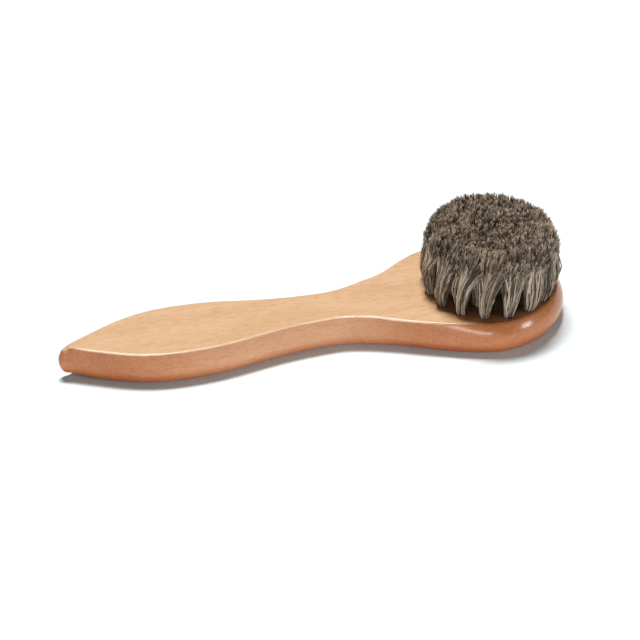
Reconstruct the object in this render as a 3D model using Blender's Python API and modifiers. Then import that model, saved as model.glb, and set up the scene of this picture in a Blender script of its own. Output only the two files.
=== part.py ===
"""Round-headed hair brush on a flat wooden handle.

The handle is one board, lying on its flat underside along X, with its round head towards +X.
Blind holes are drilled into the head in rings. Each holds a tuft of hair folded in half, and a
flat steel anchor across the fold bites into the hole's walls. The hair stands up, and is
trimmed flat in the middle and rounded at its shoulders. All lengths are in metres.
"""

import math

import bmesh
import bpy
from mathutils import Matrix, Vector
from mathutils.geometry import interpolate_bezier

MM = 0.001

# The board
LENGTH = 180.0 * MM
THICKNESS = 12.7 * MM
HEAD_THICKNESS = 12.2 * MM  # the head is planed lower than the grip
HEAD_HALF_WIDTH = 27.6 * MM
HEAD_END = 28.4 * MM  # length of the head's round end
STEP_START = 110.5 * MM  # from the tip to where the planed face begins
STEP_RUN = 9.0 * MM
CIRCLE_REACH = 0.5523  # Bezier handle length that makes a quarter circle, as a share of its radius

# Half of the outline seen from above, from the tip: distance along, half width, heading in
# degrees, handle length before and after the point, and steps to the next point.
NOSE_LENGTH = 3.4 * MM
NOSE_HALF_WIDTH = 1.9 * MM
NOSE_HEADING = 24.2
HEAD_CENTRE_ALONG = LENGTH - HEAD_END
OUTLINE = (
    (0.0, 0.0, 90.0, 0.0, 1.8 * MM, 6),
    (NOSE_LENGTH, NOSE_HALF_WIDTH, NOSE_HEADING, 1.0 * MM, 16.0 * MM, 14),
    (43.8 * MM, 14.2 * MM, 0.0, 19.5 * MM, 20.0 * MM, 16),
    (96.0 * MM, 8.5 * MM, 0.0, 25.0 * MM, 14.7 * MM, 22),
    (HEAD_CENTRE_ALONG, HEAD_HALF_WIDTH, 0.0, 13.7 * MM, CIRCLE_REACH * HEAD_END, 18),
    (LENGTH, 0.0, -90.0, CIRCLE_REACH * HEAD_HALF_WIDTH, 0.0, 0),
)

# The far half is the near one's mirror image, apart from a fuller shoulder
FAR_FULLNESS = 2.6 * MM
FAR_FULLEST_ALONG = 133.0 * MM
FAR_SPREAD = 17.0 * MM

# The board's rounded edges
SIDE_BULGE = 0.45 * MM
HEAD_BULGE = 2.1 * MM
TOP_ROUND = 0.75 * MM
BOTTOM_ROUND = 2.2 * MM
RIM_ROUND = 1.4 * MM  # lower edge of the head
RIM_RISE = 2.0 * MM  # height and inward reach of its upper edge, which ends outside the holes
RIM_REACH = 1.4 * MM
RIM_ROUND_FROM = 120.0 * MM
RIM_ROUND_TO = 155.0 * MM
TIP_ROUND = 1.3 * MM  # inward reach of both rounds where the tip narrows
TIP_ROUND_TO = 16.0 * MM
NOSE_RISE = 4.5 * MM  # height of both rounds at the very tip
NOSE_RISE_TO = 7.0 * MM
NOSE_LIFT = 1.8 * MM  # of the underside at the very tip
NOSE_LIFT_TO = 17.0 * MM
NOSE_DROP = 1.2 * MM  # of the top face there
NOSE_DROP_TO = 5.0 * MM
NECK_ROUND = 1.2 * MM  # added to the bottom round at the neck
NECK_ALONG = 119.0 * MM
NECK_SPREAD = 14.0 * MM
ROUND_STEPS = 3
SIDE_STEPS = 8  # even, so that one level runs along the widest line
SLOPE_PASSES = 12
FLAT_ANGLE = 0.2  # degrees between faces that count as one flat face
SHARP_ANGLE = 45.0

# Tufts: rings of holes, each with its count, radius and first angle in degrees
HEAD_CENTRE_X = 63.5 * MM
RINGS = ((1, 0.0, 0.0), (4, 7.1 * MM, 24.5), (8, 14.1 * MM, 13.25), (16, 21.2 * MM, 2.0))
RING_NAMES = ("centre", "inner", "middle", "outer")
HOLE_RADIUS = 2.0 * MM
HOLE_DEPTH = 8.5 * MM  # to the end of the straight wall
DRILL_POINT = 1.0 * MM
DRILL_SIDES = 20
CLEARANCE = 0.3 * MM

# Hair
TRIM_HEIGHT = 36.4 * MM  # middle of the trimmed hair above the underside
TRIM_RADIUS = 24.8 * MM
TRIM_SHIFT = 0.9 * MM  # the trimmed hair leans this far towards the head's end
TRIM_TILT = 2.6  # degrees, lower towards the head's end
SHOULDER_REACH = 5.8 * MM  # of the trimmed hair's rounded rim, inward
SHOULDER_RISE = 18.0 * MM  # and in height
FAN_POWER = 0.8  # below 1 the hair fans out early
FAN_LEVELS = (0.3, 0.65, 1.0)  # shares of the hair's height
CELL_CORNER = 6.0  # higher makes a tuft's trimmed top squarer
TUFT_SIDES = 16
TOP_LOOP = 0.5  # size of the loop half way to the middle of a tuft's trimmed top
ROOT_TAPER = 0.5  # the folded end's width and height, as a share of the bundle's radius

# Anchors
ANCHOR_LENGTH = 5.0 * MM
ANCHOR_THICKNESS = 0.4 * MM
ANCHOR_HEIGHT = 2.0 * MM
ANCHOR_DROP = 6.2 * MM  # centre below the head's face


def clear_scene():
    for obj in list(bpy.data.objects):
        bpy.data.objects.remove(obj)


def new_collection(name):
    collection = bpy.data.collections.new(name)
    bpy.context.scene.collection.children.link(collection)
    return collection


def make_material(name, colour, roughness, metallic=0.0):
    material = bpy.data.materials.new(name)
    material.use_nodes = True
    shader = material.node_tree.nodes["Principled BSDF"]
    shader.inputs["Base Color"].default_value = (*colour, 1.0)
    shader.inputs["Roughness"].default_value = roughness
    shader.inputs["Metallic"].default_value = metallic
    return material


def add_object(name, mesh, collection, parent=None, location=(0.0, 0.0, 0.0)):
    obj = bpy.data.objects.new(name, mesh)
    obj.parent = parent
    obj.location = location
    collection.objects.link(obj)
    return obj


def finish_mesh(name, bm, material=None):
    bmesh.ops.recalc_face_normals(bm, faces=bm.faces)
    mesh = bpy.data.meshes.new(name)
    bm.to_mesh(mesh)
    bm.free()
    if material:
        mesh.materials.append(material)
    return mesh


def ease(value, start, end):
    """0 before start, 1 after end, and a smooth rise between them."""
    share = min(max((value - start) / (end - start), 0.0), 1.0)
    return share * share * (3.0 - 2.0 * share)


def mix(first, second, share):
    return first + (second - first) * share


def bridge_rings(bm, lower, upper):
    """Quads between two rings of vertices that run the same way round."""
    for index in range(len(lower)):
        after = (index + 1) % len(lower)
        bm.faces.new((lower[index], lower[after], upper[after], upper[index]))


# ---------------------------------------------------------------- handle


def half_outline():
    """Points of the outline's +Y half, from the tip to the head's end, as (along, half width)."""
    points = []
    for start, end in zip(OUTLINE, OUTLINE[1:]):
        corner, far_corner = Vector(start[:2]), Vector(end[:2])
        heading, far_heading = math.radians(start[2]), math.radians(end[2])
        leave = corner + start[4] * Vector((math.cos(heading), math.sin(heading)))
        arrive = far_corner - end[3] * Vector((math.cos(far_heading), math.sin(far_heading)))
        points += interpolate_bezier(corner, leave, arrive, far_corner, start[5] + 1)[:-1]
    points.append(Vector(OUTLINE[-1][:2]))
    return points


def inward_directions(points):
    """How far each point of the outline moves for a unit of inset, square to the outline.

    The nose is too narrow for that: its points draw together towards one point inside it.
    """
    heading = math.radians(NOSE_HEADING)
    focus = Vector((NOSE_LENGTH + NOSE_HALF_WIDTH * math.tan(heading), 0.0))
    narrowest = NOSE_HALF_WIDTH / math.cos(heading)
    nose = [(focus - point) / narrowest for point in points if point.x < NOSE_LENGTH]
    square = []
    for before, after in zip(points, points[2:]):
        along = (after - before).normalized()
        square.append(Vector((along.y, -along.x)))
    return nose + square[len(nose) - 1:] + [Vector((-1.0, 0.0))]


def top_height(along):
    """The grip's flat top, then a short dip to the planed face of the head."""
    share = min(max((along - STEP_START) / STEP_RUN, 0.0), 1.0)
    return mix(THICKNESS, HEAD_THICKNESS, 1.0 - (1.0 - share) ** 2)


def edge_rounds(along):
    """(inward reach, height) of the lower and of the upper rounded edge."""
    rim = ease(along, RIM_ROUND_FROM, RIM_ROUND_TO)
    neck = NECK_ROUND * (1.0 - ease(abs(along - NECK_ALONG), 0.0, NECK_SPREAD))
    lower = mix(BOTTOM_ROUND, RIM_ROUND, rim) + neck
    rounds = ((lower, lower), (mix(TOP_ROUND, RIM_REACH, rim), mix(TOP_ROUND, RIM_RISE, rim)))
    narrow = 1.0 - ease(along, NOSE_LENGTH, TIP_ROUND_TO)
    nose = 1.0 - ease(along, 0.0, NOSE_RISE_TO)
    return [
        (mix(reach, min(reach, TIP_ROUND), narrow), mix(rise, NOSE_RISE, nose))
        for reach, rise in rounds
    ]


def round_starts(top, bulge, rounds):
    """Where each round leaves the bulged side, as its own angle, so that both have one slope.

    The side's slope depends on its height and so on the answer, which a few passes settle.
    """
    slope = 0.0
    for _ in range(SLOPE_PASSES):
        starts = [math.atan(slope * rise / reach) for reach, rise in rounds]
        taken = sum(size[1] * (1.0 - math.sin(start)) for size, start in zip(rounds, starts))
        slope = 4.0 * bulge / (top - taken)
    return starts


def edge_profile(along):
    """(inset, height) from the flat underside, up the bulged side, to the top face."""
    top = top_height(along)
    rounds = edge_rounds(along)
    (low_reach, low_rise), (high_reach, high_rise) = rounds
    bulge = mix(SIDE_BULGE, HEAD_BULGE, ease(along, RIM_ROUND_FROM, RIM_ROUND_TO))
    low_start, high_start = round_starts(top, bulge, rounds)
    profile = []
    for step in range(ROUND_STEPS):
        angle = mix(math.pi / 2, low_start, step / ROUND_STEPS)
        inset = bulge + low_reach * (math.cos(low_start) - math.cos(angle))
        profile.append((inset, low_rise * (1.0 - math.sin(angle))))
    side_low = low_rise * (1.0 - math.sin(low_start))
    side_high = top - high_rise * (1.0 - math.sin(high_start))
    for step in range(SIDE_STEPS + 1):
        share = step / SIDE_STEPS
        inset = bulge * (2.0 * share - 1.0) ** 2
        profile.append((inset, mix(side_low, side_high, share)))
    for step in range(1, ROUND_STEPS + 1):
        angle = mix(high_start, math.pi / 2, step / ROUND_STEPS)
        inset = bulge + high_reach * (math.cos(high_start) - math.cos(angle))
        profile.append((inset, top - high_rise * (1.0 - math.sin(angle))))
    low = NOSE_LIFT * (1.0 - ease(along, 0.0, NOSE_LIFT_TO))
    high = top - NOSE_DROP * (1.0 - ease(along, 0.0, NOSE_DROP_TO))
    return [(inset, mix(low, high, height / top)) for inset, height in profile]


def far_fullness(along):
    """How much further out the far shoulder of the head runs than the near one."""
    return FAR_FULLNESS * (1.0 - ease(abs(along - FAR_FULLEST_ALONG), 0.0, FAR_SPREAD))


def add_level(bm, outline, inward, profiles, level):
    """One closed ring of vertices at a level of the edge profile, and its two halves."""
    far = []
    for point, direction, profile in zip(outline, inward, profiles):
        inset, height = profile[level]
        place = point + direction * inset
        far.append(bm.verts.new((place.x - LENGTH / 2, place.y, height)))
    mirrored = [bm.verts.new((vert.co.x, -vert.co.y, vert.co.z)) for vert in far[1:-1]]
    for point, vert in zip(outline, far):
        vert.co.y += far_fullness(point.x)
    near = [far[0], *mirrored, far[-1]]
    return far + mirrored[::-1], far, near


def add_cap(bm, far, near):
    """Closes the outline from side to side, then joins what is flat into single faces."""
    for index in range(len(far) - 1):
        corners = [far[index], far[index + 1], near[index + 1], near[index]]
        bm.faces.new(list(dict.fromkeys(corners)))
    rungs = [bm.edges.get(pair) for pair in zip(far[1:-1], near[1:-1])]
    bmesh.ops.dissolve_limit(bm, angle_limit=math.radians(FLAT_ANGLE), verts=[], edges=rungs)


def handle_mesh(material):
    outline = half_outline()
    inward = inward_directions(outline)
    profiles = [edge_profile(point.x) for point in outline]
    bm = bmesh.new()
    levels = [add_level(bm, outline, inward, profiles, level) for level in range(len(profiles[0]))]
    for lower, upper in zip(levels, levels[1:]):
        bridge_rings(bm, lower[0], upper[0])
    add_cap(bm, *levels[0][1:])
    add_cap(bm, *levels[-1][1:])
    mesh = finish_mesh("handle", bm, material)
    mesh.shade_smooth()
    mesh.set_sharp_from_angle(angle=math.radians(SHARP_ANGLE))
    return mesh


def add_handle(collection, root, material, drills, slots):
    handle = add_object("handle", handle_mesh(material), collection, root)
    for name, cutters in (("drilled holes", drills), ("anchor slots", slots)):
        cut = handle.modifiers.new(name, "BOOLEAN")
        cut.operation = "DIFFERENCE"
        cut.operand_type = "COLLECTION"
        cut.collection = cutters


# ---------------------------------------------------------------- tufts


def ring_edges():
    """Radii that share the trimmed disc between the rings by their number of tufts."""
    counts = [ring[0] for ring in RINGS]
    inside = [sum(counts[:index]) / sum(counts) for index in range(len(counts) + 1)]
    return [TRIM_RADIUS * math.sqrt(share) for share in inside]


def cell_point(ring, angle, u, v):
    """A point of a tuft's trimmed top in the head's plane; u runs outward and v around, -1 to 1."""
    inner, outer = ring_edges()[ring:ring + 2]
    count = RINGS[ring][0]
    gap = CLEARANCE / 2
    if count == 1:
        return Vector((u, v)) * (outer - gap)
    radius = mix(inner + gap, outer - gap, (u + 1.0) / 2)
    turn = angle + v * (math.pi / count - gap / radius)
    return radius * Vector((math.cos(turn), math.sin(turn)))


def trimmed(point):
    """A point of the trimmed hair above the head's face, from its place in the trimmed disc."""
    flat = TRIM_RADIUS - SHOULDER_REACH
    share = min(max((point.length - flat) / SHOULDER_REACH, 0.0), 1.0)
    drop = SHOULDER_RISE * (1.0 - math.sqrt(1.0 - share * share))
    height = TRIM_HEIGHT - HEAD_THICKNESS - drop - math.tan(math.radians(TRIM_TILT)) * point.x
    return Vector((point.x + TRIM_SHIFT, point.y, height))


def tuft_top(ring, angle, size):
    """A loop on a tuft's trimmed top: its outline at size 1, and nearer its middle below that."""
    points = []
    for side in range(TUFT_SIDES):
        turn = 2.0 * math.pi * side / TUFT_SIDES
        u, v = math.cos(turn), math.sin(turn)
        if RINGS[ring][0] > 1:
            reach = (abs(u) ** CELL_CORNER + abs(v) ** CELL_CORNER) ** (1.0 / CELL_CORNER)
            u, v = u / reach, v / reach
        points.append(trimmed(cell_point(ring, angle, size * u, size * v)))
    return points


def hole_outline(angle, base, radius, height):
    turns = [angle + 2.0 * math.pi * side / TUFT_SIDES for side in range(TUFT_SIDES)]
    places = [base + Vector((math.cos(turn), math.sin(turn))) * radius for turn in turns]
    return [place.to_3d() + Vector((0.0, 0.0, height)) for place in places]


def fan_level(bundle, top, share):
    """The tuft's outline at a share of each side's own height."""
    fan = share ** FAN_POWER
    return [
        Vector((mix(start.x, end.x, fan), mix(start.y, end.y, fan), end.z * share))
        for start, end in zip(bundle, top)
    ]


def tuft_mesh(name, ring, angle, base, material):
    """The folded hair in its hole, fanning out above it; the origin is the hole's mouth."""
    radius = HOLE_RADIUS - CLEARANCE
    floor = CLEARANCE - HOLE_DEPTH
    taper = ROOT_TAPER * radius
    bundle = hole_outline(angle, base, radius, 0.0)
    top = tuft_top(ring, angle, 1.0)
    levels = [hole_outline(angle, base, taper, floor), hole_outline(angle, base, radius, floor + taper)]
    levels += [bundle, *(fan_level(bundle, top, share) for share in FAN_LEVELS)]
    levels.append(tuft_top(ring, angle, TOP_LOOP))
    bm = bmesh.new()
    rings = [[bm.verts.new(point) for point in level] for level in levels]
    for lower, upper in zip(rings, rings[1:]):
        bridge_rings(bm, lower, upper)
    bm.faces.new(rings[0])
    middle = bm.verts.new(trimmed(cell_point(ring, angle, 0.0, 0.0)))
    for index, vert in enumerate(rings[-1]):
        bm.faces.new((vert, rings[-1][(index + 1) % TUFT_SIDES], middle))
    bmesh.ops.translate(bm, verts=bm.verts, vec=-base.to_3d())
    mesh = finish_mesh(name, bm, material)
    mesh.shade_smooth()
    mesh.set_sharp_from_angle(angle=math.radians(SHARP_ANGLE))
    return mesh


def box_mesh(name, length, width, height, material=None):
    bm = bmesh.new()
    bmesh.ops.create_cube(bm, size=1.0, matrix=Matrix.Diagonal((length, width, height, 1.0)))
    return finish_mesh(name, bm, material)


def add_cutter(name, mesh, collection, parent, location):
    cutter = add_object(name, mesh, collection, parent, location)
    cutter.hide_render = True
    cutter.display_type = "WIRE"
    return cutter


def drill_profile():
    """Half of a drill's outline in the XZ plane, from its shank down to its point."""
    shank = HEAD_THICKNESS / 2
    shoulder = (HOLE_RADIUS, -HOLE_DEPTH)
    corners = ((0.0, shank), (HOLE_RADIUS, shank), shoulder, (0.0, -HOLE_DEPTH - DRILL_POINT))
    bm = bmesh.new()
    verts = [bm.verts.new((x, 0.0, z)) for x, z in corners]
    for start, end in zip(verts, verts[1:]):
        bm.edges.new((start, end))
    mesh = bpy.data.meshes.new("drill profile")
    bm.to_mesh(mesh)
    bm.free()
    return mesh


def add_drill(name, mesh, collection, parent, location):
    drill = add_cutter(name, mesh, collection, parent, location)
    turn = drill.modifiers.new("turned", "SCREW")
    turn.steps = turn.render_steps = DRILL_SIDES
    turn.use_merge_vertices = True
    turn.merge_threshold = 0.0001 * MM
    return drill


def add_tufts(collection, head, hair, steel, drills, slots):
    """Every tuft with its hole's drill, its anchor and the slot that the anchor sits in."""
    drill = drill_profile()
    anchor = box_mesh("anchor", ANCHOR_THICKNESS, ANCHOR_LENGTH, ANCHOR_HEIGHT, steel)
    slot_size = [size + 2 * CLEARANCE for size in (ANCHOR_THICKNESS, ANCHOR_LENGTH, ANCHOR_HEIGHT)]
    slot = box_mesh("anchor slot", *slot_size)
    for ring, (count, radius, first_angle) in enumerate(RINGS):
        for index in range(count):
            label = RING_NAMES[ring] + (f"_{index + 1:02d}" if count > 1 else "")
            angle = math.radians(first_angle + 360.0 * index / count)
            base = radius * Vector((math.cos(angle), math.sin(angle)))
            mouth = (base.x, base.y, 0.0)
            grip = (base.x, base.y, -ANCHOR_DROP)
            add_drill(f"drill_{label}", drill, drills, head, mouth)
            slot_cutter = add_cutter(f"slot_{label}", slot, slots, head, grip)
            mesh = tuft_mesh(f"tuft_{label}", ring, angle, base, hair)
            tuft = add_object(f"tuft_{label}", mesh, collection, head, mouth)
            window = tuft.modifiers.new("anchor slot", "BOOLEAN")
            window.operation = "DIFFERENCE"
            window.object = slot_cutter
            add_object(f"anchor_{label}", anchor, collection, head, grip)


def main():
    clear_scene()
    parts = new_collection("bee_brush")
    drills = new_collection("drill cutters")
    slots = new_collection("slot cutters")
    wood = make_material("varnished wood", (0.80, 0.52, 0.31), 0.35)
    hair = make_material("horse hair", (0.19, 0.14, 0.10), 0.7)
    steel = make_material("anchor steel", (0.58, 0.58, 0.60), 0.35, metallic=1.0)
    root = add_object("brush", None, parts)
    head = add_object("head face", None, parts, root, (HEAD_CENTRE_X, 0.0, HEAD_THICKNESS))
    add_tufts(parts, head, hair, steel, drills, slots)
    add_handle(parts, root, wood, drills, slots)


main()
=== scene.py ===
"""Looks of the round-headed hair brush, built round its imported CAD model.

The board gets finer rounds and varnished wood, and every tuft becomes folded hairs, each one a
closed tube that goes down one side of its anchor, under it and up the other. All lengths are in
metres, in the frame's own axes: X along the board towards the head, Z up from its underside.
"""

import math

import bmesh
import bpy
import numpy as np
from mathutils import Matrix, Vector
from mathutils.geometry import delaunay_2d_cdt, interpolate_bezier


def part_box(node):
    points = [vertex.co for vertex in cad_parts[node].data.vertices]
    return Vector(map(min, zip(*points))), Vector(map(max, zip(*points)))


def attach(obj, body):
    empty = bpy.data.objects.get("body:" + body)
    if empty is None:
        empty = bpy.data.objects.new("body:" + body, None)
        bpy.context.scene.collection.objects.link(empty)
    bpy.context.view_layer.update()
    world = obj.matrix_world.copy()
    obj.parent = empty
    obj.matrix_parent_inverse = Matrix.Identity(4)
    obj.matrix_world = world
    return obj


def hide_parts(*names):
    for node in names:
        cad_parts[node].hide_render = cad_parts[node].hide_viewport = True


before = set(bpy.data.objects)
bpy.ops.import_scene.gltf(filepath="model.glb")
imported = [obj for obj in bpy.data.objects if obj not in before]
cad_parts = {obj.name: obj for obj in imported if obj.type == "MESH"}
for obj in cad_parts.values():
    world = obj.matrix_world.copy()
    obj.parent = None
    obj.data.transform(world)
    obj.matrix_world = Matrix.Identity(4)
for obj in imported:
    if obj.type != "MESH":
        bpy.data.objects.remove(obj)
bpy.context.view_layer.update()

MM = 0.001

# The board, as large as the frame's
BOARD_LOW, BOARD_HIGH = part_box("handle")
LENGTH = BOARD_HIGH.x - BOARD_LOW.x
THICKNESS = BOARD_HIGH.z
HEAD_HALF_WIDTH = BOARD_HIGH.y
HEAD_THICKNESS = THICKNESS - 0.5 * MM
HEAD_END = 28.4 * MM
STEP_START = 110.5 * MM
STEP_RUN = 9.0 * MM
CIRCLE_REACH = 0.5523  # Bezier handle length of a quarter circle, as a share of its radius

# Half of the outline seen from above, from the tip: distance along, half width, heading in
# degrees, handle length before and after the point, and steps to the next point.
NOSE_LENGTH = 3.4 * MM
NOSE_HALF_WIDTH = 1.9 * MM
NOSE_HEADING = 24.2
HEAD_CENTRE_ALONG = LENGTH - HEAD_END
OUTLINE = (
    (0.0, 0.0, 90.0, 0.0, 1.8 * MM, 12),
    (NOSE_LENGTH, NOSE_HALF_WIDTH, NOSE_HEADING, 1.0 * MM, 16.0 * MM, 32),
    (43.8 * MM, 14.2 * MM, 0.0, 19.5 * MM, 20.0 * MM, 36),
    (96.0 * MM, 8.5 * MM, 0.0, 25.0 * MM, 14.7 * MM, 48),
    (HEAD_CENTRE_ALONG, HEAD_HALF_WIDTH, 0.0, 13.7 * MM, CIRCLE_REACH * HEAD_END, 40),
    (LENGTH, 0.0, -90.0, CIRCLE_REACH * HEAD_HALF_WIDTH, 0.0, 0),
)

# The far half is the near one's mirror image, apart from a fuller shoulder
FAR_FULLNESS = 2.6 * MM
FAR_FULLEST_ALONG = 133.0 * MM
FAR_SPREAD = 17.0 * MM

# The board's rounded edges
SIDE_BULGE = 0.45 * MM
HEAD_BULGE = 2.1 * MM
TOP_ROUND = 0.75 * MM
BOTTOM_ROUND = 2.2 * MM
RIM_ROUND = 1.4 * MM  # lower edge of the head
RIM_RISE = 2.0 * MM  # height and inward reach of its upper edge, which ends outside the holes
RIM_REACH = 1.4 * MM
RIM_ROUND_FROM = 120.0 * MM
RIM_ROUND_TO = 155.0 * MM
TIP_ROUND = 1.3 * MM
TIP_ROUND_TO = 16.0 * MM
NOSE_RISE = 4.5 * MM
NOSE_RISE_TO = 7.0 * MM
NOSE_LIFT = 1.8 * MM
NOSE_LIFT_TO = 17.0 * MM
NOSE_DROP = 1.2 * MM
NOSE_DROP_TO = 5.0 * MM
NECK_ROUND = 1.2 * MM
NECK_ALONG = 119.0 * MM
NECK_SPREAD = 14.0 * MM
SANDING = 0.14  # share by which hand sanding varies the top round
SANDING_WAVE = 17.0 * MM
SHORT_WAVE = 0.6  # height of a second, shorter wave, as a share of the first's
ROUND_STEPS = 8
SIDE_STEPS = 16
SLOPE_PASSES = 12

# Holes and anchors, from the frame
RINGS = (("centre", 1), ("inner", 4), ("middle", 8), ("outer", 16))
HOLE_RADIUS = 2.0 * MM
HOLE_DEPTH = 8.5 * MM
DRILL_POINT = 1.0 * MM
DRILL_SIDES = 32
MOUTH_CHAMFER = 0.15 * MM

# Hairs
SEED = 11
HAIRS_PER_TUFT = 300
HAIR_RADIUS = 0.095 * MM
RADIUS_SPREAD = (0.75, 1.25)  # thinnest and thickest hair, as shares of that
TIP_TAPER = 0.72  # a tip's share of its hair's radius
TUBE_SIDES = 3
LOCKS = 64  # in a tuft
CLUMPING = (0.55, 0.95)  # share by which a lock's hairs draw together at their tips
CLUMPED_BELOW = 0.6  # share of that clumping in the hole's mouth
SPOT_SCATTER = 0.05  # of a hair's place in its tuft, which is a square from -1 to 1
PLASTIC_SHARE = 0.7548776662466927  # spreads points evenly over a square

# The hidden fold
BUNDLE_RADIUS = 1.72 * MM  # of the hair where it fills its hole
ANCHOR_SPACE = 0.30 * MM  # from an anchor's middle to the nearest hair's middle
LEAST_ROOM = 1.2 * ANCHOR_SPACE  # left for hairs beside the anchor's ends
PAIR_SCATTER = 0.1 * MM  # how loosely the two ends of a hair face each other
FOLD_NEAREST = 0.15 * MM  # how far under the anchor the innermost hair turns
FOLD_DEPTH = 0.80 * MM  # how much further under it the outermost one does
FOLD_ROUND = 0.7  # corner of the turn, as a share of its width and depth

# The fan above the hole
FAN_HEIGHTS = (0.0, 0.1, 0.24, 0.4, 0.56, 0.72, 0.86, 0.94, 1.0)
FAN_POWER = 2.1  # above 1 the hair stays bundled for longer
SPILL = 1.6 * MM  # how far an inner tuft's tips reach among its neighbours'
OUTER_SPILL = 0.7 * MM  # and an outer tuft's
TIP_SCATTER = 0.3 * MM  # of the places where hairs end
BULGE = 1.8 * MM  # how far the outermost hairs bow outward
BULGE_FROM = 0.75  # share of the head of hair's radius where the bow starts
BULGE_FULL = 0.92  # and where it is full
BULGE_GROWTH = 1.5  # above 1 it grows more steeply near the rim
BULGE_LOWNESS = 0.8  # below 1 the bow is widest low down
BULGE_LEAN = 0.35  # share by which hairs bow more towards the head's end and less away from it
SWIRL = math.radians(5.0)  # by which the outer tufts turn round the head
CURL = 0.7 * MM  # how far the hairs of the shoulder draw in before their tips turn outward
CURL_LATENESS = 3.0  # above 1 they draw in near their tips
FRAY = 0.28 * MM  # how far the tips bend aside
FRAY_FROM = 0.86  # share of the height above which they do
HAIR_WAVE = (0.18 * MM, 2.1)  # size, and turns from root to tip
LOCK_WAVE = (0.45 * MM, 1.2)
STRAY_WAVE = (0.5 * MM, 1.0)
STRAYS = 0.03  # share of hairs that stray
LARGEST_WAVE = 1.8  # in standard deviations

# The trimmed crown
TRIM_TILT = 2.6  # degrees, lower towards the head's end
SHOULDER_REACH = 5.8 * MM  # of the trimmed hair's rounded rim, inward
SHOULDER_RISE = 18.0 * MM  # and in height
LAST_TIP = 52.0  # degrees round the shoulder where the lowest hairs end
CROWN_STEPS = 40
HAIR_UNEVEN = 0.12 * MM  # how unevenly hairs are trimmed
LOCK_UNEVEN = 0.17 * MM  # and whole locks
SHORT_HAIRS = 0.2  # share of hairs that end below the crown
SHORT_BY = (0.3 * MM, 1.8 * MM)
LEAST_DISTANCE = 0.1 * MM  # from the middle, where outward has no direction

# Shades of the hair: share of all locks up to this kind, and its shade from dark to light
LOCK_SHADES = ((0.28, 0.14), (0.50, 0.40), (0.76, 0.70), (1.0, 0.90))
SHADE_SCATTER = 0.10  # among a lock's hairs
ODD_HAIRS = 0.2  # share of hairs with a shade unlike their lock's
LIGHTEST = 0.999  # below 1, which would be past the last column
SHADES = 64  # columns of the hair material's strand map
COLUMN_MARGIN = 0.1  # share of a column left free on each side
ROOT_WAY = 0.25  # share of the strand map's height that belongs to the hidden fold

# Colours of the varnished wood: from the darker to the lighter bands of its tone
# The top's tones are a painted sheen over the wood's deep tone
TOP_SHEEN_TONES = ((0.70, 0.415, 0.220), (0.78, 0.50, 0.300))
DEEP_TONES = ((0.43, 0.122, 0.029), (0.55, 0.185, 0.054))
# Painted sheen on the sides along the middle of the grip
SIDE_SHEEN_TONES = ((0.58, 0.26, 0.12), (0.68, 0.34, 0.17))
STREAK_TINT = (0.90, 0.82, 0.75)
FLECK_TINT = (0.80, 0.66, 0.54)
# Painted shade: darker and redder towards the underside
LOW_EDGE_SHADE = (0.80, 0.56, 0.46)
LOW_EDGE_HEIGHT = 5.5 * MM
# Painted shadow of the hair on the head's face
HAIR_SHADOW_TINT = (1.0, 1.04, 1.3)
# Painted shade between the tufts, near black
GAP_SHADE = (0.05, 0.030, 0.020)
# The lighter top edge: part wear, part painted highlight
WORN_EDGE_HIGHLIGHT = (1.0, 0.82, 0.62)
PALE_PORE = (0.97, 0.80, 0.62)
WHITE = (1.0, 1.0, 1.0)

# The painted shadow of the hair on the head's flat face
HAIR_SHADOW_RIGHT = 0.8 * MM  # shift of its middle from the hair's
HAIR_SHADOW_FRONT = 2.1 * MM
HAIR_SHADOW_REACH = 1.2  # the distance where its ramp ends, as a share of the hair's radius


def ease(value, start, end):
    """0 before start, 1 after end, and a smooth rise between them."""
    share = min(max((value - start) / (end - start), 0.0), 1.0)
    return share * share * (3.0 - 2.0 * share)


def mix(first, second, share):
    return first + (second - first) * share


# ---------------------------------------------------------------- materials


class Nodes:
    """Builds one material's node tree, one call for each node."""

    def __init__(self, name):
        self.material = bpy.data.materials.new(name)
        self.material.use_nodes = True
        self.tree = self.material.node_tree
        self.shader = self.tree.nodes["Principled BSDF"]

    def add(self, kind, inputs=None, **settings):
        """A node with its settings, and inputs given as values or as the sockets that feed them."""
        node = self.tree.nodes.new("ShaderNode" + kind)
        for setting, value in settings.items():
            setattr(node, setting, value)
        self.feed(node, inputs or {})
        return node

    def feed(self, node, inputs):
        for name, value in inputs.items():
            if isinstance(value, bpy.types.NodeSocket):
                self.tree.links.new(value, node.inputs[name])
            else:
                node.inputs[name].default_value = value

    def math(self, operation, first, second=0.0):
        return self.add("Math", {0: first, 1: second}, operation=operation).outputs[0]

    def ramp(self, factor, *stops):
        """Colour stops as (position, grey value) or (position, (red, green, blue))."""
        node = self.add("ValToRGB", {"Fac": factor})
        elements = node.color_ramp.elements
        while len(elements) < len(stops):
            elements.new(0.5)
        for element, (position, colour) in zip(elements, stops):
            element.position = position
            rgb = colour if isinstance(colour, tuple) else (colour,) * 3
            element.color = (*rgb, 1.0)
        return node.outputs["Color"]

    def blend(self, factor, first, second, blend_type="MIX"):
        node = self.add("Mix", data_type="RGBA", blend_type=blend_type)
        for name, value in (("Factor", factor), ("A", first), ("B", second)):
            sockets = [socket for socket in node.inputs if socket.name == name and socket.enabled]
            if isinstance(value, bpy.types.NodeSocket):
                self.tree.links.new(value, sockets[0])
            else:
                sockets[0].default_value = (*value, 1.0) if isinstance(value, tuple) else value
        return next(socket for socket in node.outputs if socket.enabled)

    def noise(self, place, scale, detail=3.0, roughness=0.5, distortion=0.0):
        values = {"Vector": place, "Scale": scale, "Detail": detail, "Roughness": roughness}
        return self.add("TexNoise", {**values, "Distortion": distortion}).outputs["Fac"]

    def stretched(self, place, scale):
        return self.add("Mapping", {"Vector": place, "Scale": scale}).outputs[0]


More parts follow.
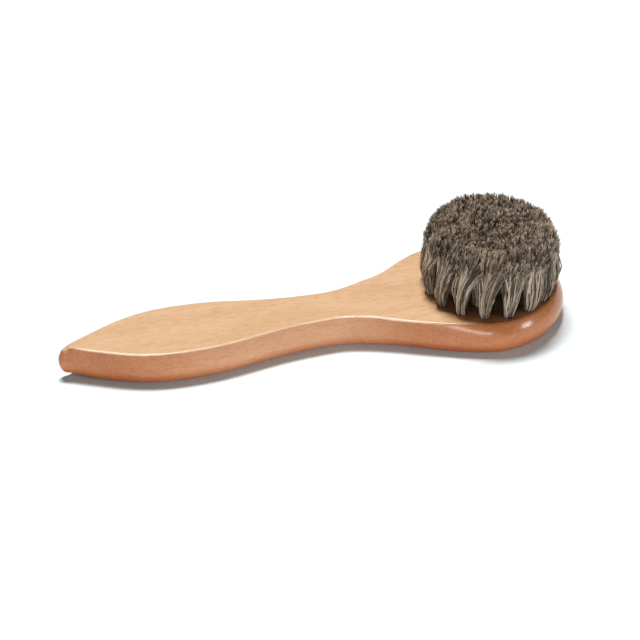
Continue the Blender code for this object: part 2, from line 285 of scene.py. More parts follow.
def wood_material(brush):
    """Varnished beech, deep in tone, with painted sheen on top and painted shade round the tufts.
    """
    wood = Nodes("varnished_beech")
    place = wood.add("TexCoord").outputs["Object"]
    axes = wood.add("SeparateXYZ", {0: place}).outputs
    facing = wood.add("SeparateXYZ", {0: wood.add("NewGeometry").outputs["Normal"]}).outputs["Z"]
    tone = wood.noise(wood.stretched(place, (22.0, 90.0, 90.0)), 1.0, 3.0, 0.55, 0.6)
    streaks = wood.noise(wood.stretched(place, (90.0, 700.0, 700.0)), 1.0, 4.0, 0.6, 0.4)
    flecks = wood.noise(wood.stretched(place, (260.0, 1500.0, 1500.0)), 1.0, 2.0, 0.6)
    pores = wood.noise(wood.stretched(place, (450.0, 3600.0, 3600.0)), 1.0, 1.0, 0.5)
    deep = wood.ramp(tone, (0.25, DEEP_TONES[0]), (0.75, DEEP_TONES[1]))
    colour = face_colours(wood, axes, facing, tone, deep)
    colour = painted_hair_shadow(wood, brush, axes, facing, deep, colour)
    # Painted shade: darker and redder towards the underside
    low_shade = wood.ramp(wood.math("DIVIDE", axes["Z"], LOW_EDGE_HEIGHT), (0.1, 1.0), (0.75, 0.0))
    colour = wood.blend(low_shade, colour, LOW_EDGE_SHADE, "MULTIPLY")
    colour = grained(wood, streaks, flecks, pores, colour)
    rough = wood.ramp(streaks, (0.3, 0.50), (0.7, 0.38))
    bump = wood.add("Bump", {"Height": flecks, "Strength": 0.12, "Distance": 0.05 * MM})
    values = {"Base Color": colour, "Roughness": rough, "Normal": bump.outputs[0]}
    varnish = {"Coat Weight": 0.65, "Coat Roughness": 0.16, "Coat IOR": 1.5}
    wood.feed(wood.shader, {**values, **varnish, "Specular IOR Level": 0.3})
    return wood.material


def face_colours(wood, axes, facing, tone, deep):
    """Painted sheen on the top and a stretch of the grip's sides; wear and painted highlight on the
    edge.
    """
    way = wood.math("MULTIPLY", wood.math("SUBTRACT", axes["X"], BOARD_LOW.x), 1.0 / LENGTH)
    # Painted sheen: faces turned upward get the paler top tones, the sides keep the deep tone
    top = wood.ramp(tone, (0.3, TOP_SHEEN_TONES[0]), (0.7, TOP_SHEEN_TONES[1]))
    pale = wood.ramp(tone, (0.25, SIDE_SHEEN_TONES[0]), (0.75, SIDE_SHEEN_TONES[1]))
    # Painted sheen: the sides turn paler along the middle of the grip
    side_sheen = wood.ramp(way, (0.12, 0.0), (0.34, 1.0), (0.54, 1.0), (0.68, 0.0))
    side = wood.blend(side_sheen, deep, pale)
    crisp = wood.ramp(way, (0.66, 1.0), (0.78, 0.0))
    grip_top = wood.ramp(facing, (0.60, 0.0), (0.93, 1.0))
    head_top = wood.ramp(facing, (0.90, 0.0), (0.99, 1.0))
    colour = wood.blend(wood.blend(crisp, head_top, grip_top), side, top)
    # The lighter edge between top and side: part wear, part painted highlight
    patchy = wood.ramp(tone, (0.3, 0.25), (0.6, 0.62))
    stretch = wood.ramp(way, (0.025, 0.0), (0.05, 1.0), (0.66, 1.0), (0.78, 0.0))
    edge = wood.ramp(facing, (0.30, 0.0), (0.50, 1.0), (0.86, 1.0), (0.95, 0.0))
    wear_and_highlight = wood.math("MULTIPLY", edge, wood.math("MULTIPLY", patchy, stretch))
    return wood.blend(wear_and_highlight, colour, WORN_EDGE_HIGHLIGHT)


def painted_hair_shadow(wood, brush, axes, facing, deep, colour):
    """Adds the painted shadow of the hair round the tufts and near-black painted shade between
    them.
    """
    # Painted shadow of the hair, on upward faces near the tufts
    spot = {0: float(brush.centre[0]) + HAIR_SHADOW_RIGHT, 1: float(brush.centre[1]) - HAIR_SHADOW_FRONT}
    middle = wood.add("CombineXYZ", spot).outputs[0]
    level = wood.add("CombineXYZ", {0: axes["X"], 1: axes["Y"]}).outputs[0]
    distance = wood.add("VectorMath", {0: level, 1: middle}, operation="DISTANCE").outputs["Value"]
    reach = wood.math("DIVIDE", distance, HAIR_SHADOW_REACH * brush.radius)
    upward = wood.ramp(facing, (0.93, 0.0), (0.985, 1.0))
    patch = wood.math("MULTIPLY", wood.ramp(reach, (0.78, 1.0), (0.86, 0.0)), upward)
    colour = wood.blend(patch, colour, wood.blend(1.0, deep, HAIR_SHADOW_TINT, "MULTIPLY"))
    # Painted shade between the tufts, inside the outer ring of holes
    ring = anchor_middle("outer_01") - anchor_middle("centre")
    inside = wood.ramp(wood.math("DIVIDE", distance, ring.length), (0.84, 0.85), (1.0, 0.0))
    return wood.blend(wood.math("MULTIPLY", inside, patch), colour, GAP_SHADE)


def grained(wood, streaks, flecks, pores, colour):
    """Adds streaks, flecks and pale pores."""
    streak_tint = wood.ramp(streaks, (0.30, STREAK_TINT), (0.62, WHITE))
    colour = wood.blend(0.6, colour, streak_tint, "MULTIPLY")
    fleck_tint = wood.ramp(flecks, (0.32, FLECK_TINT), (0.50, WHITE))
    colour = wood.blend(0.55, colour, fleck_tint, "MULTIPLY")
    filled = wood.ramp(pores, (0.58, 0.0), (0.72, 1.0))
    return wood.blend(wood.math("MULTIPLY", filled, 0.12), colour, PALE_PORE)


def hair_material():
    """Mixed horse hair. The strand map gives a hair's shade across and the way along it upward."""
    hair = Nodes("horse_hair")
    strand_map = hair.add("UVMap", uv_map="OFBake").outputs[0]
    axes = hair.add("SeparateXYZ", {0: strand_map}).outputs
    shade = hair.ramp(
        axes["X"],
        (0.00, (0.018, 0.014, 0.011)),
        (0.22, (0.065, 0.046, 0.033)),
        (0.38, (0.225, 0.132, 0.075)),
        (0.55, (0.370, 0.255, 0.165)),
        (0.75, (0.660, 0.490, 0.340)),
        (1.00, (0.940, 0.770, 0.580)),
    )
    mottle = hair.noise(hair.stretched(strand_map, (float(SHADES), 9.0, 1.0)), 1.0, 2.0)
    colour = hair.blend(hair.ramp(mottle, (0.35, 0.0), (0.7, 0.3)), shade, (0.34, 0.27, 0.20))
    # Darker low on the visible hair, a painted shade, and darker at the very tips
    root = hair.ramp(axes["Y"], (0.3, 0.75), (0.7, 1.0), (0.88, 1.0), (0.97, 0.72))
    colour = hair.blend(1.0, colour, root, "MULTIPLY")
    rough = hair.ramp(mottle, (0.3, 0.42), (0.7, 0.6))
    hair.feed(hair.shader, {"Base Color": colour, "Roughness": rough})
    return hair.material


def steel_material():
    """Bright drawn strip: fine lengthwise lines and a few dull spots."""
    steel = Nodes("anchor_strip")
    place = steel.add("TexCoord").outputs["Object"]
    lines = steel.noise(steel.stretched(place, (9000.0, 300.0, 9000.0)), 1.0, 3.0)
    spots = steel.noise(place, 900.0, 3.0)
    colour = steel.ramp(lines, (0.3, (0.42, 0.42, 0.43)), (0.7, (0.66, 0.66, 0.67)))
    colour = steel.blend(steel.ramp(spots, (0.55, 0.0), (0.75, 0.5)), colour, (0.30, 0.27, 0.25))
    rough = steel.ramp(lines, (0.3, 0.42), (0.7, 0.26))
    bump = steel.add("Bump", {"Height": lines, "Strength": 0.2, "Distance": 0.01 * MM})
    values = {"Base Color": colour, "Roughness": rough, "Normal": bump.outputs[0]}
    steel.feed(steel.shader, {**values, "Metallic": 1.0})
    return steel.material


# ---------------------------------------------------------------- board


def half_outline():
    """Points of the outline's +Y half, from the tip to the head's end, as (along, half width)."""
    points = []
    for start, end in zip(OUTLINE, OUTLINE[1:]):
        corner, far_corner = Vector(start[:2]), Vector(end[:2])
        heading, far_heading = math.radians(start[2]), math.radians(end[2])
        leave = corner + start[4] * Vector((math.cos(heading), math.sin(heading)))
        arrive = far_corner - end[3] * Vector((math.cos(far_heading), math.sin(far_heading)))
        points += interpolate_bezier(corner, leave, arrive, far_corner, start[5] + 1)[:-1]
    points.append(Vector(OUTLINE[-1][:2]))
    return points


def inward_directions(points):
    """How far each point of the outline moves for a unit of inset, square to the outline.

    The nose is too narrow for that: its points draw together towards one point inside it.
    """
    heading = math.radians(NOSE_HEADING)
    focus = Vector((NOSE_LENGTH + NOSE_HALF_WIDTH * math.tan(heading), 0.0))
    narrowest = NOSE_HALF_WIDTH / math.cos(heading)
    nose = [(focus - point) / narrowest for point in points if point.x < NOSE_LENGTH]
    square = []
    for before, after in zip(points, points[2:]):
        along = (after - before).normalized()
        square.append(Vector((along.y, -along.x)))
    return nose + square[len(nose) - 1:] + [Vector((-1.0, 0.0))]


def top_height(along):
    """The grip's flat top, then a short dip to the planed face of the head."""
    share = min(max((along - STEP_START) / STEP_RUN, 0.0), 1.0)
    return mix(THICKNESS, HEAD_THICKNESS, 1.0 - (1.0 - share) ** 2)


def sanded(along):
    """Hand sanding takes a little more off the top edge in some places than in others."""
    way = along / SANDING_WAVE
    uneven = math.sin(2.0 * way) + SHORT_WAVE * math.sin(4.7 * way + 1.0)
    return 1.0 + SANDING * uneven / (1.0 + SHORT_WAVE)


def edge_rounds(along):
    """(inward reach, height) of the lower and of the upper rounded edge."""
    rim = ease(along, RIM_ROUND_FROM, RIM_ROUND_TO)
    neck = NECK_ROUND * (1.0 - ease(abs(along - NECK_ALONG), 0.0, NECK_SPREAD))
    lower = mix(BOTTOM_ROUND, RIM_ROUND, rim) + neck
    top = TOP_ROUND * sanded(along)
    rounds = ((lower, lower), (mix(top, RIM_REACH, rim), mix(top, RIM_RISE, rim)))
    narrow = 1.0 - ease(along, NOSE_LENGTH, TIP_ROUND_TO)
    nose = 1.0 - ease(along, 0.0, NOSE_RISE_TO)
    return [
        (mix(reach, min(reach, TIP_ROUND), narrow), mix(rise, NOSE_RISE, nose))
        for reach, rise in rounds
    ]


def round_starts(top, bulge, rounds):
    """Where each round leaves the bulged side, as its own angle, so that both have one slope.

    The side's slope depends on its height and so on the answer, which a few passes settle.
    """
    slope = 0.0
    for _ in range(SLOPE_PASSES):
        starts = [math.atan(slope * rise / reach) for reach, rise in rounds]
        taken = sum(size[1] * (1.0 - math.sin(start)) for size, start in zip(rounds, starts))
        slope = 4.0 * bulge / (top - taken)
    return starts


def edge_profile(along):
    """(inset, height) from the flat underside, up the bulged side, to the top face."""
    top = top_height(along)
    rounds = edge_rounds(along)
    (low_reach, low_rise), (high_reach, high_rise) = rounds
    bulge = mix(SIDE_BULGE, HEAD_BULGE, ease(along, RIM_ROUND_FROM, RIM_ROUND_TO))
    low_start, high_start = round_starts(top, bulge, rounds)
    profile = []
    for step in range(ROUND_STEPS):
        angle = mix(math.pi / 2, low_start, step / ROUND_STEPS)
        inset = bulge + low_reach * (math.cos(low_start) - math.cos(angle))
        profile.append((inset, low_rise * (1.0 - math.sin(angle))))
    side_low = low_rise * (1.0 - math.sin(low_start))
    side_high = top - high_rise * (1.0 - math.sin(high_start))
    for step in range(SIDE_STEPS + 1):
        share = step / SIDE_STEPS
        inset = bulge * (2.0 * share - 1.0) ** 2
        profile.append((inset, mix(side_low, side_high, share)))
    for step in range(1, ROUND_STEPS + 1):
        angle = mix(high_start, math.pi / 2, step / ROUND_STEPS)
        inset = bulge + high_reach * (math.cos(high_start) - math.cos(angle))
        profile.append((inset, top - high_rise * (1.0 - math.sin(angle))))
    low = NOSE_LIFT * (1.0 - ease(along, 0.0, NOSE_LIFT_TO))
    high = top - NOSE_DROP * (1.0 - ease(along, 0.0, NOSE_DROP_TO))
    return [(inset, mix(low, high, height / top)) for inset, height in profile]


def far_fullness(along):
    """How much further out the far shoulder of the head runs than the near one."""
    return FAR_FULLNESS * (1.0 - ease(abs(along - FAR_FULLEST_ALONG), 0.0, FAR_SPREAD))


def add_level(bm, outline, inward, profiles, level):
    """One closed ring of vertices at a level of the edge profile, and its two halves."""
    far = []
    for point, direction, profile in zip(outline, inward, profiles):
        inset, height = profile[level]
        place = point + direction * inset
        far.append(bm.verts.new((place.x + BOARD_LOW.x, place.y, height)))
    mirrored = [bm.verts.new((vert.co.x, -vert.co.y, vert.co.z)) for vert in far[1:-1]]
    for point, vert in zip(outline, far):
        vert.co.y += far_fullness(point.x)
    near = [far[0], *mirrored, far[-1]]
    return far + mirrored[::-1], far, near


def bridge_rings(bm, lower, upper):
    for index in range(len(lower)):
        after = (index + 1) % len(lower)
        bm.faces.new((lower[index], lower[after], upper[after], upper[index]))


def add_strip(bm, far, near):
    """Faces from side to side between two rows of vertices."""
    for index in range(len(far) - 1):
        corners = [far[index], far[index + 1], near[index + 1], near[index]]
        bm.faces.new(list(dict.fromkeys(corners)))


def add_ring(bm, place, radius, height):
    ring = []
    for side in range(DRILL_SIDES):
        turn = 2.0 * math.pi * side / DRILL_SIDES
        x, y = place.x + radius * math.cos(turn), place.y + radius * math.sin(turn)
        ring.append(bm.verts.new((x, y, height)))
    return ring


def add_hole(bm, place):
    """A blind hole: chamfered mouth, straight wall and the drill's point. Returns its mouth."""
    chamfered = add_ring(bm, place, HOLE_RADIUS + MOUTH_CHAMFER, HEAD_THICKNESS)
    edge = add_ring(bm, place, HOLE_RADIUS, HEAD_THICKNESS - MOUTH_CHAMFER)
    floor = add_ring(bm, place, HOLE_RADIUS, HEAD_THICKNESS - HOLE_DEPTH)
    point = bm.verts.new((place.x, place.y, HEAD_THICKNESS - HOLE_DEPTH - DRILL_POINT))
    bridge_rings(bm, edge, chamfered)
    bridge_rings(bm, floor, edge)
    for index, vert in enumerate(floor):
        bm.faces.new((vert, point, floor[(index + 1) % DRILL_SIDES]))
    return chamfered


def add_drilled_face(bm, rim, places):
    """The planed face of the head: flat triangles between its rim and the holes' mouths."""
    loops = [rim] + [add_hole(bm, place) for place in places]
    corners, edges = [], []
    for loop in loops:
        numbers = range(len(corners), len(corners) + len(loop))
        edges += zip(numbers, [*numbers[1:], numbers[0]])
        corners += loop
    flat = [vert.co.to_2d() for vert in corners]
    _, _, triangles, origins, _, _ = delaunay_2d_cdt(flat, edges, [], 1, 1e-9)
    for triangle in triangles:
        verts = [corners[origins[number][0]] for number in triangle]
        middle = sum((vert.co.to_2d() for vert in verts), Vector((0.0, 0.0))) / 3.0
        if all((middle - place.to_2d()).length > HOLE_RADIUS for place in places):
            bm.faces.new(verts)


def board_mesh(places):
    outline = half_outline()
    inward = inward_directions(outline)
    profiles = [edge_profile(point.x) for point in outline]
    bm = bmesh.new()
    levels = [add_level(bm, outline, inward, profiles, level) for level in range(len(profiles[0]))]
    for lower, upper in zip(levels, levels[1:]):
        bridge_rings(bm, lower[0], upper[0])
    add_strip(bm, *levels[0][1:])
    _, far, near = levels[-1]
    planed = next(i for i, point in enumerate(outline) if point.x > STEP_START + STEP_RUN)
    add_strip(bm, far[:planed + 1], near[:planed + 1])
    add_drilled_face(bm, far[planed:] + near[planed:-1][::-1], places)
    bmesh.ops.recalc_face_normals(bm, faces=bm.faces)
    mesh = bpy.data.meshes.new("board")
    bm.to_mesh(mesh)
    bm.free()
    return mesh


def add_object(name, mesh, material=None):
    obj = bpy.data.objects.new(name, mesh)
    bpy.context.scene.collection.objects.link(obj)
    if material:
        mesh.materials.append(material)
    return obj


def add_board(places, material):
    """The board with its drilled holes, which stands for the CAD handle."""
    board = add_object("handle_board", board_mesh(places), material)
    board.data.shade_smooth()
    board.data.set_sharp_from_angle(angle=math.radians(42))
    even = board.modifiers.new("even shading", "WEIGHTED_NORMAL")
    even.keep_sharp = True
    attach(board, "root")
    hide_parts("handle")


# ---------------------------------------------------------------- hair


def tube_points(paths, radii):
    """Corners of the tubes round their paths, ring by ring."""
    tangent = np.gradient(paths, axis=1)
    tangent /= np.linalg.norm(tangent, axis=2, keepdims=True)
    normal = np.cross((0.0, 1.0, 0.0), tangent)
    normal /= np.linalg.norm(normal, axis=2, keepdims=True)
    second = np.cross(tangent, normal)
    corners = []
    for side in range(TUBE_SIDES):
        turn = 2.0 * math.pi * side / TUBE_SIDES
        aside = math.cos(turn) * normal + math.sin(turn) * second
        corners.append(paths + radii[..., None] * aside)
    return np.stack(corners, axis=2).reshape(-1, 3)


def tube_faces(tubes, rings):
    """Vertex numbers of the tubes' quads, and of the triangles that close their two ends."""
    number = np.arange(tubes * rings * TUBE_SIDES).reshape(tubes, rings, TUBE_SIDES)
    after = np.roll(number, -1, axis=2)
    quads = np.stack([number[:, :-1], after[:, :-1], after[:, 1:], number[:, 1:]], axis=-1)
    caps = np.concatenate([number[:, 0, [0, 2, 1]], number[:, -1]])
    return quads.reshape(-1, 4), caps


def strand_map(columns, along):
    """Map places of the quads' corners and then the caps': shade across, way along upward."""
    width = (1.0 - 2.0 * COLUMN_MARGIN) / TUBE_SIDES / SHADES
    column = (columns[:, None, None] + COLUMN_MARGIN) / SHADES
    shape = (*along[:, 1:].shape, TUBE_SIDES)
    left = np.broadcast_to(column + width * np.arange(TUBE_SIDES), shape)
    low = np.broadcast_to(along[:, :-1, None], shape)
    high = np.broadcast_to(along[:, 1:, None], shape)
    corners = ((left, low), (left + width, low), (left + width, high), (left, high))
    quads = np.stack([np.stack(corner, axis=-1) for corner in corners], axis=3)
    middle = (columns + 0.5) / SHADES
    ends = [np.stack([middle, along[:, ring]], axis=1) for ring in (0, -1)]
    return np.concatenate([quads.reshape(-1, 2), *(np.repeat(end, 3, axis=0) for end in ends)])


def tube_mesh(name, paths, radii, columns, along):
    """Closed three-sided tubes along paths (tubes, rings, xyz).

    The strand map places a tube in its shade's column and a ring by its way along the hair.
    """
    points = tube_points(paths, radii)
    quads, caps = tube_faces(*paths.shape[:2])
    corners = np.concatenate([quads.ravel(), caps.ravel()])
    starts = np.concatenate([np.arange(len(quads)) * 4, quads.size + np.arange(len(caps)) * 3])
    mesh = bpy.data.meshes.new(name)
    mesh.vertices.add(len(points))
    mesh.vertices.foreach_set("co", points.astype(np.float32).ravel())
    mesh.loops.add(len(corners))
    mesh.loops.foreach_set("vertex_index", corners.astype(np.int32))
    mesh.polygons.add(len(starts))
    mesh.polygons.foreach_set("loop_start", starts.astype(np.int32))
    mesh.polygons.foreach_set("use_smooth", np.arange(len(starts)) < len(quads))
    mesh.update(calc_edges=True)
    uv = mesh.uv_layers.new(name="OFBake")
    uv.uv.foreach_set("vector", strand_map(columns, along).astype(np.float32).ravel())
    return mesh


class Brush:
    """The trimmed head of hair, measured from the frame."""

    def __init__(self):
        boxes = [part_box(f"tuft_{label}") for label in tuft_labels(*RINGS[-1])]
        right, left = min(box[0].y for box in boxes), max(box[1].y for box in boxes)
        middle_low, middle_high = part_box("tuft_centre")
        self.slope = math.tan(math.radians(TRIM_TILT))
        self.radius = (left - right) / 2
        self.centre = np.array((max(box[1].x for box in boxes) - self.radius, (left + right) / 2))
        self.top = middle_high.z - self.slope * (middle_high.x - middle_low.x) / 2
        self.limit = max(box[1].z for box in boxes)
        turn = np.radians(np.linspace(0.0, LAST_TIP, CROWN_STEPS))
        radii = self.radius - SHOULDER_REACH * (1.0 - np.sin(turn))
        drops = SHOULDER_RISE * (1.0 - np.cos(turn))
        steps = np.hypot(np.diff(radii), np.diff(drops))
        self.ways = np.concatenate([[0.0], radii[0] + np.concatenate([[0.0], np.cumsum(steps)])])
        self.radii = np.concatenate([[0.0], radii])
        self.drops = np.concatenate([[0.0], drops])

    def ring_ways(self, ring):
        """Where a ring's share of the trimmed hair starts and ends, measured along its crown."""
        counts = [count for _, count in RINGS]
        shares = [sum(counts[:index]) / sum(counts) for index in (ring, ring + 1)]
        start, end = [self.radius * math.sqrt(share) for share in shares]
        if ring == len(RINGS) - 1:
            return start - SPILL, self.ways[-1]
        return max(start - SPILL, 0.0), end + SPILL

    def crown(self, way, turn):
        """Points of the trimmed crown, from the way along it from its middle and the way round."""
        radius = np.interp(way, self.ways, self.radii)
        x = self.centre[0] + radius * np.cos(turn)
        y = self.centre[1] + radius * np.sin(turn)
        z = self.top - np.interp(way, self.ways, self.drops) - self.slope * (x - self.centre[0])
        return np.stack([x, y, z], 1)


def tuft_labels(ring, count):
    return [ring if count == 1 else f"{ring}_{index + 1:02d}" for index in range(count)]


def spread_points(rng, count):
    """Evenly spread but irregular points in the square from -1 to 1."""
    index = np.arange(count)
    u = (index * PLASTIC_SHARE + rng.random()) % 1.0
    v = (index * PLASTIC_SHARE * PLASTIC_SHARE + rng.random()) % 1.0
    spot = np.stack([u, v], 1) * 2.0 - 1.0
    return np.clip(spot + rng.normal(0.0, SPOT_SCATTER, spot.shape), -1.0, 1.0)


def tip_places(rng, brush, ring, angle, spot):
    """Where hairs end on the crown, from their places in the tuft: outward, and around."""
    count = RINGS[ring][1]
    low, high = brush.ring_ways(ring)
    if count == 1:
        disc = disc_places(spot)
        way, turn = high * np.hypot(disc[:, 0], disc[:, 1]), np.arctan2(disc[:, 1], disc[:, 0])
    else:
        way = np.sqrt(low ** 2 + (spot[:, 0] + 1.0) / 2.0 * (high ** 2 - low ** 2))
        spill, swirl = (OUTER_SPILL, SWIRL) if ring == len(RINGS) - 1 else (SPILL, 0.0)
        spread = math.pi / count + spill / np.minimum(way, brush.radius)
        turn = angle + swirl + spot[:, 1] * spread
    way = np.clip(way + rng.normal(0.0, TIP_SCATTER, len(way)), 0.0, brush.ways[-1])
    return brush.crown(way, turn)


def disc_places(spot):
    """The square's points moved into a round disc of radius 1."""
    u, v = spot[:, 0], spot[:, 1]
    return np.stack([u * np.sqrt(1.0 - v * v / 2.0), v * np.sqrt(1.0 - u * u / 2.0)], 1)


def clumped(rng, spot):
    """Each hair's lock, and its place drawn towards that lock's middle."""
    middles = spread_points(rng, LOCKS)
    distance = np.linalg.norm(spot[:, None, :] - middles[None, :, :], axis=2)
    lock = distance.argmin(axis=1)
    pull = rng.uniform(*CLUMPING, LOCKS)[lock][:, None]
    return lock, spot + (middles[lock] - spot) * pull


def hair_shades(rng, lock):
    """A shade for each hair: most locks are light or brown, some dark, and all are mixed."""
    shares, shades = np.array(LOCK_SHADES).T
    lean = shades[np.searchsorted(shares, rng.random(LOCKS), side="right")]
    shade = lean[lock] + rng.normal(0.0, SHADE_SCATTER, len(lock))
    odd = rng.random(len(lock)) < ODD_HAIRS
    shade = np.where(odd, rng.random(len(lock)), shade)
    return np.clip(shade, 0.0, LIGHTEST)


def waves(rng, count, levels, size, turns):
    """Sideways bends that grow from the root, each in its own direction and phase."""
    heading = rng.uniform(0.0, 2.0 * math.pi, count)
    phase = rng.uniform(0.0, 2.0 * math.pi, count)[:, None]
    strength = size * np.clip(rng.normal(0.0, 1.0, count), -LARGEST_WAVE, LARGEST_WAVE)
    bend = np.sin(phase + 2.0 * math.pi * turns * levels[None, :]) - np.sin(phase)
    bend = bend * np.minimum(levels * 3.0, 1.0)[None, :] * strength[:, None]
    return bend[..., None] * np.stack([np.cos(heading), np.sin(heading)], 1)[:, None, :]


def tip_heights(rng, brush, tip, lock):
    """Heights of the trimmed tips: a little uneven, and some hairs short of the crown."""
    ends = len(tip)
    uneven = rng.normal(0.0, HAIR_UNEVEN, ends) + rng.normal(0.0, LOCK_UNEVEN, LOCKS)[lock]
    short = np.where(rng.random(ends) < SHORT_HAIRS, rng.uniform(*SHORT_BY, ends), 0.0)
    return np.minimum(tip[:, 2] + uneven - short, brush.limit)


def frayed(rng, lock, levels):
    """How the last of each hair bends aside, by itself and with its lock."""
    late = np.maximum(levels - FRAY_FROM, 0.0) / (1.0 - FRAY_FROM)
    alone = rng.normal(0.0, FRAY, (len(lock), 1, 2))
    together = rng.normal(0.0, FRAY, (LOCKS, 1, 2))[lock]
    return late[None, :, None] * (alone + together)


def fan_paths(rng, brush, ring, angle, hole, spot):
    """The free part of every hair, from the hole's mouth to its trimmed tip, and its shade."""
    ends = len(spot)
    lock, drawn = clumped(rng, spot)
    turned = np.array([[math.cos(angle), math.sin(angle)], [-math.sin(angle), math.cos(angle)]])
    mouth = disc_places(mix(spot, drawn, CLUMPED_BELOW))
    base = np.array(hole) + BUNDLE_RADIUS * mouth @ turned
    tip = tip_places(rng, brush, ring, angle, drawn)
    height = tip_heights(rng, brush, tip, lock)
    levels = np.array(FAN_HEIGHTS)
    flat = base[:, None, :] + (tip[:, :2] - base)[:, None, :] * levels[None, :, None] ** FAN_POWER
    flat += bowed(brush, base, levels) - curled(brush, tip, levels)
    flat += frayed(rng, lock, levels)
    flat += waves(rng, ends, levels, *HAIR_WAVE)
    flat += waves(rng, LOCKS, levels, *LOCK_WAVE)[lock]
    stray = rng.random(ends) < STRAYS
    flat += waves(rng, ends, levels, *STRAY_WAVE) * stray[:, None, None]
    z = HEAD_THICKNESS + (height - HEAD_THICKNESS)[:, None] * levels[None, :]
    return np.concatenate([flat, z[..., None]], axis=2), hair_shades(rng, lock)


def outward(brush, places):
    """Distances of places from the middle of the head of hair, and directions away from it."""
    out = places - brush.centre
    distance = np.linalg.norm(out, axis=1)
    return distance, out / np.maximum(distance, LEAST_DISTANCE)[:, None]


def bowed(brush, base, levels):
    """The outward bow of the hairs nearest the head's rim."""
    distance, away = outward(brush, base)
    share = (distance / brush.radius - BULGE_FROM) / (BULGE_FULL - BULGE_FROM)
    strength = BULGE * np.clip(share, 0.0, 1.0) ** BULGE_GROWTH * (1.0 + BULGE_LEAN * away[:, 0])
    bow = strength[:, None] * np.sin(math.pi * levels ** BULGE_LOWNESS)[None, :]
    return bow[..., None] * away[:, None, :]


def curled(brush, tip, levels):
    """How far hairs that end on the shoulder draw in below their tips."""
    distance, away = outward(brush, tip[:, :2])
    share = np.clip((distance - brush.radius + SHOULDER_REACH) / SHOULDER_REACH, 0.0, 1.0)
    draw = CURL * share[:, None] * np.sin(math.pi * levels ** CURL_LATENESS)[None, :]
    return draw[..., None] * away[:, None, :]


def rooted_paths(hole, anchor, mouth, partner_y, side):
    """From the mouth down beside the anchor to its lower edge, for one end of every hair."""
    low, high = anchor
    local = mouth[:, :2] - np.array(hole)
    room = np.sqrt(np.maximum(BUNDLE_RADIUS ** 2 - partner_y ** 2, LEAST_ROOM ** 2))
    rank = np.clip(np.abs(local[:, 0]) / BUNDLE_RADIUS, 0.0, 1.0)
    beside = side * (ANCHOR_SPACE + np.maximum(room - ANCHOR_SPACE, 0.0) * rank)
    x, y = hole.x + beside, hole.y + partner_y
    halfway = (local + np.stack([beside, partner_y], 1)) / 2.0 + np.array(hole)
    rings = [
        np.stack([halfway[:, 0], halfway[:, 1], np.full(len(x), (HEAD_THICKNESS + high.z) / 2)], 1),
        np.stack([x, y, np.full(len(x), high.z)], 1),
        np.stack([x, y, np.full(len(x), low.z)], 1),
    ]
    return np.stack(rings, axis=1), beside, rank


def fold_paths(hole, anchor, left, right):
    """The hidden part of every hair, from one end's mouth round the anchor to the other's."""
    partner_y = (left[:, 1] + right[:, 1]) / 2.0 - hole.y
    down, left_x, left_rank = rooted_paths(hole, anchor, left, partner_y, -1.0)
    up, right_x, right_rank = rooted_paths(hole, anchor, right, partner_y, 1.0)
    depth = FOLD_NEAREST + FOLD_DEPTH * (left_rank + right_rank) / 2.0
    y = hole.y + partner_y
    bottom = [
        np.stack([hole.x + FOLD_ROUND * left_x, y, anchor[0].z - FOLD_ROUND * depth], 1),
        np.stack([np.full(len(y), hole.x), y, anchor[0].z - depth], 1),
        np.stack([hole.x + FOLD_ROUND * right_x, y, anchor[0].z - FOLD_ROUND * depth], 1),
    ]
    return np.concatenate([down, np.stack(bottom, axis=1), up[:, ::-1]], axis=1)


def paired_ends(rng, fan):
    """The hair ends left and right of the anchor, in two lists that pair one hair's two ends."""
    order = np.argsort(fan[:, 0, 0])
    sides = []
    for half in (order[:HAIRS_PER_TUFT], order[HAIRS_PER_TUFT:]):
        loose = fan[half, 0, 1] + rng.normal(0.0, PAIR_SCATTER, len(half))
        sides.append(half[np.argsort(loose)])
    return sides


def strand_profile(hidden):
    """Each ring's way on the strand map and its share of the radius, from tip to tip."""
    rise = ROOT_WAY + (1.0 - ROOT_WAY) * np.array(FAN_HEIGHTS)
    sunk = ROOT_WAY * np.abs(np.linspace(-1.0, 1.0, hidden))
    thin = np.linspace(TIP_TAPER, 1.0, len(FAN_HEIGHTS))
    along = np.concatenate([rise[::-1], sunk, rise])
    return along, np.concatenate([thin, np.ones(hidden), thin[::-1]])


def tuft_mesh(brush, ring, index, label):
    """All hairs of one tuft, each a tube from tip to tip, folded under its anchor."""
    rng = np.random.default_rng([SEED, ring, index])
    hole = anchor_middle(label).to_2d()
    out = hole - anchor_middle("centre").to_2d()
    spot = spread_points(rng, 2 * HAIRS_PER_TUFT)
    fan, shade = fan_paths(rng, brush, ring, math.atan2(out.y, out.x), hole, spot)
    left, right = paired_ends(rng, fan)
    fold = fold_paths(hole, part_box(f"anchor_{label}"), fan[left, 0], fan[right, 0])
    paths = np.concatenate([fan[left][:, ::-1], fold, fan[right]], axis=1)
    along, taper = strand_profile(fold.shape[1])
    radii = HAIR_RADIUS * rng.uniform(*RADIUS_SPREAD, len(paths))[:, None] * taper[None, :]
    columns = np.floor(shade[left] * SHADES)
    ways = np.broadcast_to(along[None, :], paths.shape[:2])
    return tube_mesh(f"hair_{label}", paths, radii, columns, ways)


def anchor_middle(label):
    low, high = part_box(f"anchor_{label}")
    return (low + high) / 2.0


def add_tufts(brush, hair, steel):
    """A piece of hair for every CAD tuft, and the strip's material on every anchor."""
    for ring, (name, count) in enumerate(RINGS):
        for index, label in enumerate(tuft_labels(name, count)):
            tuft = add_object(f"hair_{label}", tuft_mesh(brush, ring, index, label), hair)
            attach(tuft, "root")
            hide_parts(f"tuft_{label}")
            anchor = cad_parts[f"anchor_{label}"]
            for slot in anchor.material_slots:
                slot.material = steel


# ---------------------------------------------------------------- studio

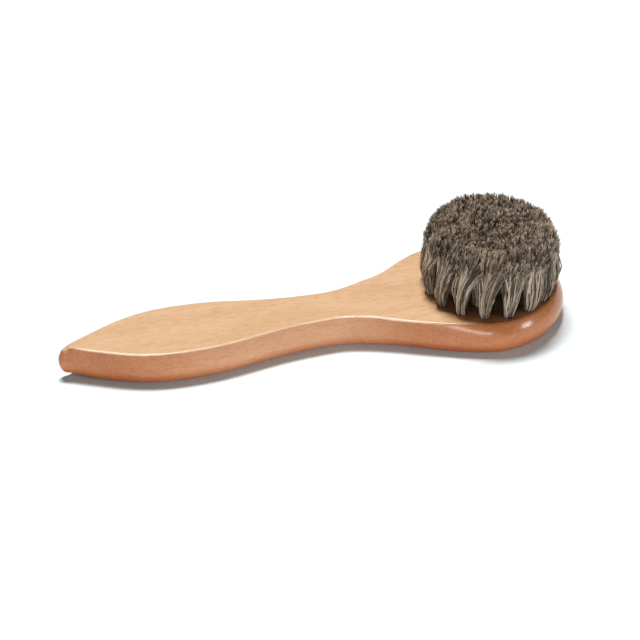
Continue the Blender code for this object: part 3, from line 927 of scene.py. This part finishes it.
VIEW_AZIMUTH = -15.0
VIEW_ELEVATION = 36.0
VIEW_DISTANCE = 1200.0 * MM
VIEW_LENS = 194.1
SENSOR_WIDTH = 36.0
VIEW_TARGET = Vector((5.0 * MM, 0.0, 6.0 * MM))
AIM_LEFT = 2.36 * MM
AIM_UP = 0.35 * MM

# Softboxes: azimuth and elevation in degrees, distance, width and height in metres, watts
LAMPS = (
    ("key", 181.0, 74.5, 2.4, 0.80, 0.36, 65.0),
    ("right", 48.0, 12.0, 0.9, 0.20, 0.22, 2.2),
    ("front", -22.0, 6.5, 1.3, 0.90, 0.20, 6.0),
)
ROOM_LIGHT = (0.55, 0.98, 1.05, 1.0)
ROOM_STRENGTH = 0.08
FLOOR_HALF = 4.0


def direction(azimuth, elevation):
    """Unit vector towards a place seen from the object; azimuth 0 is -Y and 90 is +X."""
    turn, rise = math.radians(azimuth), math.radians(elevation)
    return Vector(
        (math.sin(turn) * math.cos(rise), -math.cos(turn) * math.cos(rise), math.sin(rise))
    )


def add_camera():
    camera = bpy.data.objects.new("camera", bpy.data.cameras.new("camera"))
    bpy.context.scene.collection.objects.link(camera)
    back = direction(VIEW_AZIMUTH, VIEW_ELEVATION)
    camera.rotation_euler = (-back).to_track_quat("-Z", "Y").to_euler()
    turned = camera.rotation_euler.to_matrix()
    aim = VIEW_TARGET - AIM_LEFT * turned.col[0] + AIM_UP * turned.col[1]
    camera.location = aim + back * VIEW_DISTANCE
    camera.data.lens = VIEW_LENS
    camera.data.sensor_width = SENSOR_WIDTH
    camera.data.clip_start = 0.01
    camera.data.clip_end = 20.0
    bpy.context.scene.camera = camera


def add_softbox(name, azimuth, elevation, distance, width, height, power):
    """An area light aimed at the brush."""
    light = bpy.data.lights.new(name, "AREA")
    light.shape = "RECTANGLE"
    light.size = width
    light.size_y = height
    light.energy = power
    box = bpy.data.objects.new(name, light)
    bpy.context.scene.collection.objects.link(box)
    away = direction(azimuth, elevation)
    box.location = away * distance
    box.rotation_euler = (-away).to_track_quat("-Z", "Y").to_euler()


def add_floor():
    mesh = bpy.data.meshes.new("floor")
    signs = ((-1.0, -1.0), (1.0, -1.0), (1.0, 1.0), (-1.0, 1.0))
    corners = [(FLOOR_HALF * x, FLOOR_HALF * y, 0.0) for x, y in signs]
    mesh.from_pydata(corners, [], [(0, 1, 2, 3)])
    paper = Nodes("white_paper")
    place = paper.add("TexCoord").outputs["Object"]
    grain = paper.noise(place, 400.0, 2.0)
    tint = paper.ramp(grain, (0.3, (0.87, 0.94, 0.95)), (0.7, (0.89, 0.96, 0.97)))
    paper.feed(paper.shader, {"Base Color": tint, "Roughness": 0.9, "Specular IOR Level": 0.1})
    floor = add_object("floor", mesh, paper.material)


def add_studio():
    world = bpy.data.worlds.new("studio")
    world.use_nodes = True
    background = world.node_tree.nodes["Background"]
    background.inputs["Color"].default_value = ROOM_LIGHT
    background.inputs["Strength"].default_value = ROOM_STRENGTH
    bpy.context.scene.world = world
    bpy.context.scene.view_settings.view_transform = "Standard"
    for lamp in LAMPS:
        add_softbox(*lamp)


def main():
    add_camera()
    add_studio()
    add_floor()
    places = [anchor_middle(label) for name, count in RINGS for label in tuft_labels(name, count)]
    brush = Brush()
    add_board(places, wood_material(brush))
    add_tufts(brush, hair_material(), steel_material())


main()
